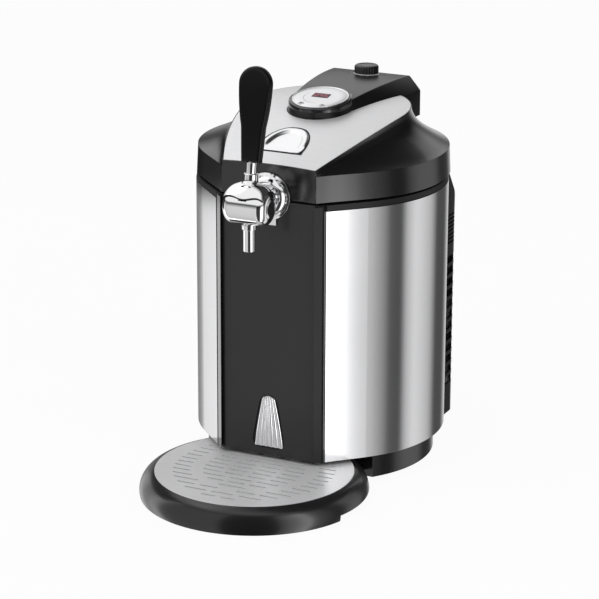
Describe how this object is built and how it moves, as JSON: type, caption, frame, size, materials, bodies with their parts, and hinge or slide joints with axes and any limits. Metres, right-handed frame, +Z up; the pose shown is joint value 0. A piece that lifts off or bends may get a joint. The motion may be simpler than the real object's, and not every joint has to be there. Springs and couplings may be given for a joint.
{
  "type": "mini keg beer dispenser",
  "caption": "Countertop cooler for a party keg: insulated drum, hinged lid with display and pressure knob, lever tap and drip tray.",
  "frame": {"origin": "on the table, under the axis of the drum and keg well", "axes": "+Z up along the drum's axis; the tap, the drip tray and the flat front face -Y; +X to the user's right facing the tap"},
  "size_m": [0.2654, 0.4309, 0.4443],
  "materials": {
    "black_plastic": "fine satin texture",
    "front_gloss": "satin black",
    "steel_skin": "brushed along the drum",
    "silver_skin": "fine satin silver",
    "badge_silver": "fluted, plated",
    "chrome_part": "polished",
    "handle_black": "satin black",
    "grid_steel": "brushed",
    "tray_black": "satin",
    "rubber_black": "matte",
    "liner_grey": "smooth",
    "foam_white": "closed-cell foam",
    "heat_sink_metal": "extruded",
    "module_white": "ceramic-faced",
    "fan_black": "moulded",
    "board_green": "circuit board",
    "display_glass": "lit digits behind a dark window",
    "disc_silver": "satin disc with a bright rim",
    "key_silver": "silver",
    "knob_black": "ribbed",
    "regulator_metal": "turned",
    "pin_steel": "ground",
    "button_silver": "plated, scooped"
  },
  "bodies": {
    "base": {"base_pedestal": "black_plastic", "rubber_feet": "rubber_black", "body_shell": "black_plastic", "left_steel_panel": "steel_skin", "right_steel_panel": "steel_skin", "front_panel": "front_gloss", "front_badge": "badge_silver", "body_rim": "black_plastic", "keg_well": "liner_grey", "insulation": "foam_white", "cold_block": "heat_sink_metal", "peltier_module": "module_white", "heat_sink": "heat_sink_metal", "fan_frame": "fan_black", "power_supply": "board_green", "rear_cover": "black_plastic", "power_inlet": "black_plastic", "cover_screws": "pin_steel", "tap_flange": "chrome_part", "tap_coupling_nut": "chrome_part", "tap_shank": "chrome_part", "keg_coupler": "liner_grey", "tap_barrel": "chrome_part", "tap_end_caps": "chrome_part", "tap_spout": "chrome_part", "hinge_pin": "pin_steel"},
    "fan": {"fan_rotor": "fan_black"},
    "tap_lever": {"tap_hood": "chrome_part", "tap_ferrule": "chrome_part", "tap_handle": "handle_black", "valve_plug": "pin_steel"},
    "lid": {"lid_shell": "black_plastic", "lid_top_plate": "silver_skin", "control_housing": "front_gloss", "display_bezel": "disc_silver", "display_module": "display_glass", "control_board": "board_green", "lid_liner": "liner_grey", "lid_insulation": "foam_white", "lid_seal": "rubber_black", "regulator_body": "regulator_metal", "cartridge_holder": "regulator_metal"},
    "button": {"release_button": "button_silver"},
    "latch": {"latch_hook": "pin_steel"},
    "key_up": {"temp_up_button": "key_silver"},
    "key_down": {"temp_down_button": "key_silver"},
    "knob": {"pressure_knob": "knob_black"},
    "tray": {"drip_tray": "tray_black"},
    "grid": {"drip_grid": "grid_steel"}
  },
  "joints": [
    {"name": "fan_spin", "type": "hinge", "parent": "base", "child": "fan", "pos_m": [0, 0.133, 0.15], "axis": [0, 1, 0], "continuous": true},
    {"name": "tap_pull", "type": "hinge", "parent": "base", "child": "tap_lever", "pos_m": [0, -0.174, 0.3063], "axis": [1, 0, 0], "range_deg": [0, 40]},
    {"name": "lid_open", "type": "hinge", "parent": "base", "child": "lid", "pos_m": [0, 0.139, 0.306], "axis": [-1, 0, 0], "range_deg": [0, 75]},
    {"name": "button_press", "type": "slide", "parent": "lid", "child": "button", "axis": [0, 0, -1], "range_m": [0, 0.003], "stiffness_N_per_m": 500},
    {"name": "latch_turn", "type": "hinge", "parent": "lid", "child": "latch", "pos_m": [0, -0.106, 0.328], "axis": [-1, 0, 0], "range_deg": [0, 9.4]},
    {"name": "temp_up_press", "type": "slide", "parent": "lid", "child": "key_up", "axis": [0, 0, -1], "range_m": [0, 0.0008], "stiffness_N_per_m": 400},
    {"name": "temp_down_press", "type": "slide", "parent": "lid", "child": "key_down", "axis": [0, 0, -1], "range_m": [0, 0.0008], "stiffness_N_per_m": 400},
    {"name": "pressure_turn", "type": "hinge", "parent": "lid", "child": "knob", "pos_m": [0, 0.112, 0.388], "axis": [0, 0, 1], "range_deg": [0, 270]},
    {"name": "tray_slide", "type": "slide", "parent": "base", "child": "tray", "axis": [0, -1, 0], "range_m": [0, 0.12]},
    {"name": "grid_lift", "type": "slide", "parent": "tray", "child": "grid", "axis": [0, 0, 1], "range_m": [0, 0.003]}
  ],
  "couplings": [
    {"joint": "latch_turn", "follows": "button_press", "rad_per_m": 54}
  ]
}
